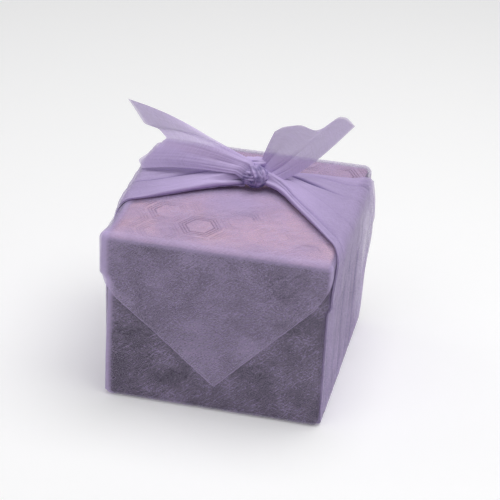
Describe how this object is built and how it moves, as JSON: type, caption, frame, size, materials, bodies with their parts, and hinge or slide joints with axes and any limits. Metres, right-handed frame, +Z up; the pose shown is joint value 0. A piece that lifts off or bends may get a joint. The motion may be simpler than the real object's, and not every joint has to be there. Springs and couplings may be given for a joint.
{
  "type": "furoshiki wrap on a lidded gift box",
  "caption": "Square sheer cloth wrapped round a lidded gift box, its side corners gathered and tied in a flat knot on top, with a pointed flap hanging down the front.",
  "frame": {"origin": "middle of the flat underside, where the wrapped box rests", "axes": "+Z up through the knot, +X to the right of the face with the pointed flap, -Y out of that face"},
  "size_m": [0.2408, 0.2136, 0.2509],
  "materials": {
    "cloth": "sheer nonwoven, softly shiny along its fibres",
    "lid_paper": "matt paper on board",
    "box_board": "matt dark paper on board"
  },
  "bodies": {
    "root": {"furoshiki_cloth": "cloth", "box_lid": "lid_paper", "box_base": "box_board"}
  },
  "joints": []
}
